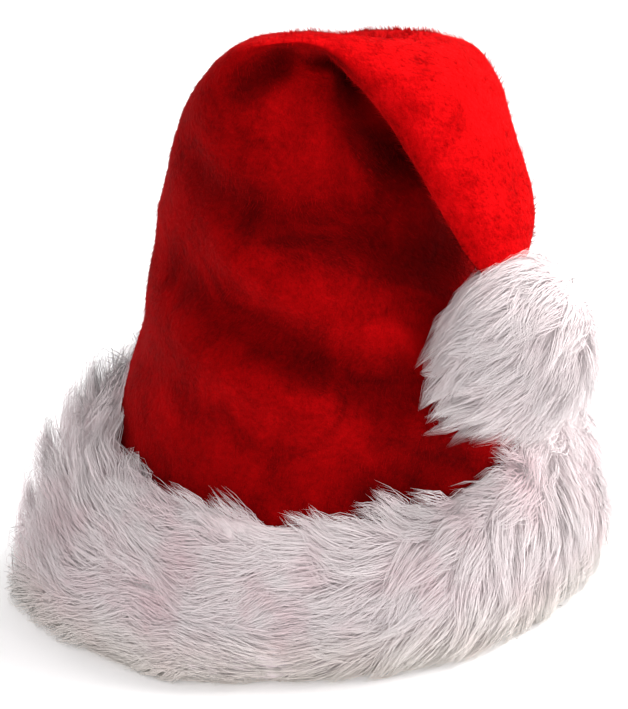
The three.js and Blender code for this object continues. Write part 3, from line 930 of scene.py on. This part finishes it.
def cuff_roots(count, rng):
    """Roots spread over the cuff's outer side and its top edge, with the way out at each."""
    rows = np.array([*CUFF_SECTION, (1.0, 0.03), (0.9, 0.03)])
    steps = np.hypot(np.diff(rows[:, 0]) * CUFF_HEIGHT, np.diff(rows[:, 1]) * CUFF_FUR)
    length = np.append(0, np.cumsum(steps))
    place = rng.random(count) * length[-1]
    turns = rng.random(count) * 2 * np.pi

    def root_at(place):
        rise, out = (np.interp(place, length, rows[:, k]) for k in (0, 1))
        return cuff_point(turns, out * CUFF_FUR * ROOTS_SHARE, rise), rise

    roots, rise = root_at(place)
    above, below = (root_at(np.clip(p, 0, length[-1]))[0] for p in (place + NEAR, place - NEAR))
    along = unit(above - below)
    along *= np.where(along[:, 2] < -0.5, -1, 1)[:, None]
    _, outs = rim_at(turns)
    clockwise = np.cross(outs, UP)
    ways = unit(np.cross(clockwise, along))
    ways *= np.sign((ways * (outs + 0.4 * UP)).sum(1))[:, None]
    return {"root": roots - ways * MM, "out": ways, "rise": rise, "round": clockwise, "along": along}


def cuff_flow(spots):
    """The way that the fur is combed at each root, its lift and length, and how spiky its locks are."""
    angles = np.arctan2(spots["root"][:, 1], spots["root"][:, 0])
    clockwise, up, lift, length, spiky = np.moveaxis(round_table(CUFF_COMBED, angles), -1, 0)
    edge = np.clip((spots["rise"] - TOP_EDGE) / (1 - TOP_EDGE), 0, 1)
    foot = np.clip(1 - spots["rise"] / FOOT, 0, 1)
    wispy = edge * np.clip(2.5 * smooth_noise(spots["root"], WISPS_GRAIN, 21), 0, 1)
    up = up + edge * 0.5 - foot * 0.3 + wispy
    swirl = smooth_noise(spots["root"], SWIRL_GRAIN, 7) * 1.1
    round_share, up_share = clockwise - swirl * up, up + swirl * clockwise
    flow = spots["round"] * round_share[:, None] + spots["along"] * up_share[:, None]
    smooth_edge = edge * (1 - spiky)
    lift = lift * (1 - 0.45 * smooth_edge) * (1 + 0.4 * wispy)
    length = length * MM * (1 - 0.3 * smooth_edge) * (1 + 0.4 * wispy)
    return unit(flow), lift, length, spiky


# %% [markdown]
# ## Locks, wisps and hairs
# One hair differs little from the next, but locks differ much. So the fur is grown on three levels, each with
# a little chance of its own: locks first, then wisps that are pulled to their lock, then hairs that are
# pulled to their wisp. Where the coat is spiky the pull is stronger, and the locks end in points.

# %% Locks, wisps and hairs
# how far a wisp is pulled to its lock and a hair to its wisp, where the fur is smooth and where it is spiky
LOCK_PULL = (0.72, 0.98)
WISP_PULL = (0.72, 0.93)
LOCK_CHANCE, WISP_CHANCE, HAIR_CHANCE = 0.3, 0.22, 0.16  # how far each strays from the combed way
SHORTEST = 0.62  # the shortest hairs against the longest
TIPS_APART = 0.45 * MM
FUR_SOFTNESS = 0.85


def bundle(spots, flow_of, sag, rng, spread):
    """Paths for one level of the fur, each a little different from its neighbours, and how spiky they are."""
    flows, lifts, lengths, spiky = flow_of(spots)
    count = len(flows)
    sideways = np.cross(spots["out"], flows)
    flows = unit(flows + sideways * rng.normal(0, spread, count)[:, None])
    lifts = lifts * rng.uniform(0.5, 1.3, count)
    lengths = lengths * rng.uniform(0.72, 1.12, count)
    waves = rng.normal(0, 0.09, count)
    return hair_paths(spots["root"], spots["out"], flows, lengths, lifts, sag, waves), spiky


def pulled(paths, spiky, parents, owner, pulls):
    """Hairs gathered to their owners, by the first pull where the fur is smooth and the second where spiky."""
    return gathered(paths, parents, owner, (pulls[0] + (pulls[1] - pulls[0]) * spiky)[:, None, None])


def grow_fur(names, roots_of, flow_of, counts, sag, width, clear, seed, part_of):
    """Locks hold wisps and wisps hold hairs. The hairs are joined in one piece for each name."""
    rng = np.random.default_rng(seed)
    locks, wisps, hairs = (roots_of(count, rng) for count in counts)
    lock_paths, _ = bundle(locks, flow_of, sag, rng, LOCK_CHANCE)
    wisp_paths, spiky = bundle(wisps, flow_of, sag, rng, WISP_CHANCE)
    wisp_paths = pulled(wisp_paths, spiky, lock_paths, nearest_of(wisps["root"], locks["root"]), LOCK_PULL)
    paths, spiky = bundle(hairs, flow_of, sag, rng, HAIR_CHANCE)
    owner = nearest_of(hairs["root"], wisps["root"])
    paths = pulled(paths, spiky, wisp_paths, owner, WISP_PULL)
    short = rng.uniform(SHORTEST, 1.0, len(paths)) ** 0.8
    paths = paths[:, :1] + (paths - paths[:, :1]) * short[:, None, None]
    paths[:, -1] += rng.normal(0, TIPS_APART, (len(paths), 3)) * (1 - 0.85 * spiky)[:, None]
    paths = kept_off(paths, clear)
    widths = rng.uniform(0.75, 1.25, len(paths)) * width
    tones = rng.normal(0.5, 0.2, len(paths)) + rng.uniform(-0.3, 0.3, len(wisp_paths))[owner]
    tones = np.clip(tones, 0, 1)
    part = part_of(paths[:, 0])
    pieces = []
    for k, name in enumerate(names):
        own = part == k
        outs = hairs["out"][own]
        pieces.append(hair_mesh(name, paths[own], outs, widths[own], tones[own], FUR_SOFTNESS))
    return pieces


# %% [markdown]
# ## Relief under the locks
# Between the locks one sees down to the backing. A smooth backing would look like a bald band there, so it is
# raised under each lock and sunk between them, along the same paths.


# %% Relief of the backing
def relief(piece, roots_of, flow_of, count, seed, height, half):
    """Soft ridges on the backing, along the locks that will lie on it."""
    locks = roots_of(count, np.random.default_rng(seed))
    flows, _, lengths, _ = flow_of(locks)
    flat = hair_paths(locks["root"], locks["out"], flows, lengths, np.zeros(count), 0.0, np.zeros(count))
    tree = KDTree(flat.shape[0] * flat.shape[1])
    for i, spot in enumerate(flat.reshape(-1, 3)):
        tree.insert(spot, i)
    tree.balance()
    points, ways = points_of(piece.data), normals_of(piece.data)
    far = np.array([tree.find(point)[2] for point in points])
    rise = height * (np.clip(1 - (far / half) ** 2, 0, 1) - 0.5)
    rise += smooth_noise(points, 20 * MM, 3) * 0.4 * height
    rise *= points[:, 2] > 2 * MM
    points += ways * rise[:, None]
    points[:, 2] = np.maximum(points[:, 2], 0)
    piece.data.vertices.foreach_set("co", points.astype(np.float32).ravel())
    piece.data.update()
    print(piece.name, "relief in mm:", round(rise.min() / MM, 2), "to", round(rise.max() / MM, 2))


LOCKS_ON_CUFF = 560
RIDGE_HEIGHT = 2.0 * MM
RIDGE_HALF = 5.5 * MM
relief(backing, cuff_roots, cuff_flow, LOCKS_ON_CUFF, 11, RIDGE_HEIGHT, RIDGE_HALF)


# %% Cuff fur: grown in three pieces
def third_round(roots):
    """Which third of the cuff a root is in, from the front by way of the right."""
    angles = np.arctan2(roots[:, 1], roots[:, 0]) + np.radians(150)
    return np.floor((angles % (2 * np.pi)) / (2 * np.pi / 3)).astype(int)


cuff_pieces = grow_fur(
    ["cuff_fur_front", "cuff_fur_right", "cuff_fur_left"],
    cuff_roots,
    cuff_flow,
    counts=(LOCKS_ON_CUFF, 3800, 33000),
    sag=0.05,
    width=0.34 * MM,
    clear=0.8 * MM,
    seed=11,
    part_of=third_round,
)
for piece in cuff_pieces:
    piece.data.materials.append(cuff_fur)
    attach(piece, "root")

# %% [markdown]
# ## Pompom
# The pompom is a stuffed ball of the same fur, sewn on the tail's tip. Its hair parts at the right and is
# combed away from there, so that its tips stand out to the left and below. A ball with many faces, drawn out
# downwards and raised under its locks, carries the hair.

# %% Pompom ball
POMPOM_RADIUS = 30 * MM
POMPOM_STRETCH = 1.26
POMPOM_PARTING = unit(np.array([0.95, -0.12, 0.3]))
POMPOM_HAIR = 27 * MM
BALL_SHARE, HAIR_ROOTS_SHARE = 0.94, 0.9  # the ball's surface and the roots inside it, against the radius
low, high = (np.array(corner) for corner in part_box("pompom"))
pompom_middle = low + (high - low) * np.array([0.54, 0.5, 0.505])

bpy.ops.object.select_all(action="DESELECT")
bpy.ops.mesh.primitive_ico_sphere_add(subdivisions=5, radius=POMPOM_RADIUS * BALL_SHARE)
ball = bpy.context.object
ball.name = "pompom_ball"
bpy.ops.object.mode_set(mode="EDIT")
bpy.ops.mesh.select_all(action="SELECT")
bpy.ops.transform.resize(value=(1, 1, POMPOM_STRETCH))
bpy.ops.transform.translate(value=tuple(pompom_middle))
bpy.ops.object.mode_set(mode="OBJECT")
bpy.ops.object.shade_smooth()
ball.data.materials.append(fur_backing)
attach(ball, "root")
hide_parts("pompom")
print("pompom middle:", tuple(round(x, 4) for x in pompom_middle))


# %% Pompom fur
def pompom_roots(count, rng):
    """Roots spread evenly over the ball."""
    ways = unit(rng.normal(0, 1, (count, 3)))
    roots = pompom_middle + ways * np.array([1, 1, POMPOM_STRETCH]) * POMPOM_RADIUS * HAIR_ROOTS_SHARE
    return {"root": roots, "out": ways}


def pompom_flow(spots):
    """Away from the parting, round the ball, and straight out on its far side."""
    outs = spots["out"]
    swirl = smooth_noise(spots["root"], 22 * MM, 9)[:, None] * 0.8
    near = (outs * POMPOM_PARTING).sum(1)
    away = -POMPOM_PARTING + near[:, None] * outs
    standing = outs * 0.6 * smooth_step(0.3, 1.0, -near)[:, None]
    flow = away + np.cross(outs, away) * swirl + standing - 0.3 * UP
    lift = 0.7 + 0.5 * (near > 0.6)
    spiky = smooth_step(-0.1, 0.8, -near)
    return unit(flow), lift, POMPOM_HAIR * (1 - 0.15 * np.clip(near, -1, 1)), spiky


LOCKS_ON_POMPOM = 190
relief(ball, pompom_roots, pompom_flow, LOCKS_ON_POMPOM, 23, RIDGE_HEIGHT, RIDGE_HALF)
pompom_pieces = grow_fur(
    ["pompom_fur"],
    pompom_roots,
    pompom_flow,
    counts=(LOCKS_ON_POMPOM, 1300, 11500),
    sag=0.12,
    width=0.34 * MM,
    clear=1.0 * MM,
    seed=23,
    part_of=lambda roots: np.zeros(len(roots), int),
)
for piece in pompom_pieces:
    piece.data.materials.append(pompom_fur)
    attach(piece, "root")

# %% [markdown]
# ## Pile on the crown
# The plush's pile is only three or four millimetres long, but it makes the fuzzy edge of the tail and the
# mottled light on the front. Short spikes stand all over the outer side and are swirled in patches. They lean
# up on the tail, where they are also longer and stand higher, and down on the rest.

# %% Crown pile
PILE_COUNT = 44000
PILE_LENGTH = 3.2 * MM
PILE_WIDTH = 0.42 * MM
PILE_SOFTNESS = 0.6
ON_TAIL = 0.6  # the nap above which a root counts as on the tail


def cloth_roots(mesh, count, rng):
    """Roots spread evenly over the cloth's outer side, by the areas of its faces."""
    side = values_of(mesh, "outside")
    mesh.calc_loop_triangles()
    corners = np.empty(len(mesh.loop_triangles) * 3, np.int32)
    mesh.loop_triangles.foreach_get("vertices", corners)
    corners = corners.reshape(-1, 3)
    corners = corners[side[corners].min(1) > 0.5]
    a, b, c = (points_of(mesh)[corners[:, k]] for k in range(3))
    areas = np.linalg.norm(np.cross(b - a, c - a), axis=1)
    chosen = rng.choice(len(corners), count, p=areas / areas.sum())
    u, v = rng.random((2, count))
    u, v = np.where(u + v > 1, 1 - u, u)[:, None], np.where(u + v > 1, 1 - v, v)[:, None]
    roots = a[chosen] + (b - a)[chosen] * u + (c - a)[chosen] * v
    corner = corners[chosen, 0]
    return roots, normals_of(mesh)[corner], values_of(mesh, "nap_and_painted_light")[corner]


def crown_pile():
    """One piece with all the pile, and with each hair the nap value, which also paints its light and shade."""
    rng = np.random.default_rng(41)
    roots, outs, nap_and_painted_light = cloth_roots(crown_plush.data, PILE_COUNT, rng)
    down = -UP + (outs @ UP)[:, None] * outs
    on_tail = nap_and_painted_light > ON_TAIL
    down *= np.where(on_tail, -1, 1)[:, None]
    side = np.cross(outs, down)
    swirl = smooth_noise(roots, 30 * MM, 12) * 1.4 + smooth_noise(roots, 9 * MM, 13) * 0.6
    flow = unit(down + side * (swirl + rng.normal(0, 0.25, len(roots)))[:, None] + outs * 0.02)
    lean = 0.35 + smooth_noise(roots, 14 * MM, 14) * 0.3 + rng.normal(0, 0.15, len(roots))
    lean = np.clip(lean, 0.1, 1.0) + 0.3 * on_tail
    long = PILE_LENGTH * (1 + 0.4 * on_tail) * rng.uniform(0.6, 1.2, len(roots))
    tips = roots + unit(flow + outs * lean[:, None]) * long[:, None]
    paths = np.stack([roots - outs * 0.3 * MM, tips], 1)
    widths = rng.uniform(0.7, 1.3, len(roots)) * PILE_WIDTH
    pile = hair_mesh("crown_pile", paths, outs, widths, rng.random(len(roots)), PILE_SOFTNESS)
    layer = pile.data.attributes.new("nap_and_painted_light", "FLOAT", "POINT")
    layer.data.foreach_set("value", np.repeat(nap_and_painted_light, len(pile.data.vertices) // len(roots)))
    return pile


pile = crown_pile()
pile.data.materials.append(plush_material("red_plush_pile", tip_highlight=0.3))
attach(pile, "root")
